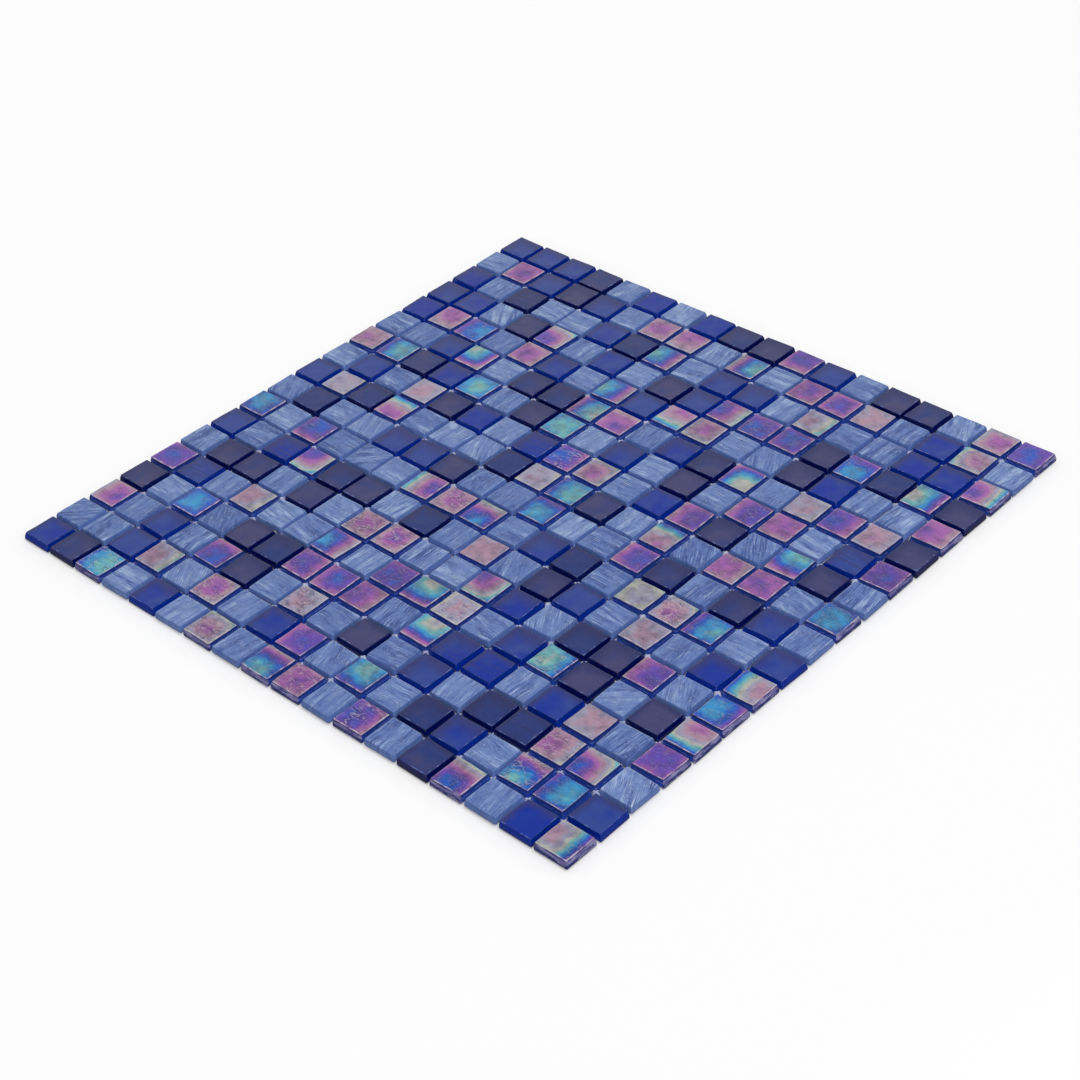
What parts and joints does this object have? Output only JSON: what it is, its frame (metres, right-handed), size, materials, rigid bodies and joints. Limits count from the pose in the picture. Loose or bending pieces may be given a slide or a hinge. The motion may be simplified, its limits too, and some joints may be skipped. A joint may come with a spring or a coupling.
{
  "type": "mosaic tile sheet",
  "caption": "Square sheet of small square glass mosaic tiles in blue, navy, marbled and pearl glass, held on the back by glue dots.",
  "frame": {"origin": "middle of the sheet's back, in the plane of the glue dots' undersides", "axes": "+Z out of the tile faces, X and Y along the two directions of the joints"},
  "size_m": [0.3008, 0.3006, 0.004],
  "materials": {
    "cobalt_glass": "satin",
    "navy_glass": "satin",
    "marbled_glass": "satin",
    "rose_pearl_glass": "iridescent",
    "violet_pearl_glass": "iridescent",
    "aqua_pearl_glass": "iridescent",
    "ivory_pearl_glass": "iridescent",
    "clear_glue": "clear, slightly milky"
  },
  "bodies": {
    "root": {"cobalt_tiles": "cobalt_glass", "navy_tiles": "navy_glass", "marbled_tiles": "marbled_glass", "rose_pearl_tiles": "rose_pearl_glass", "violet_pearl_tiles": "violet_pearl_glass", "aqua_pearl_tiles": "aqua_pearl_glass", "ivory_pearl_tiles": "ivory_pearl_glass", "glue_dots": "clear_glue"}
  },
  "joints": []
}
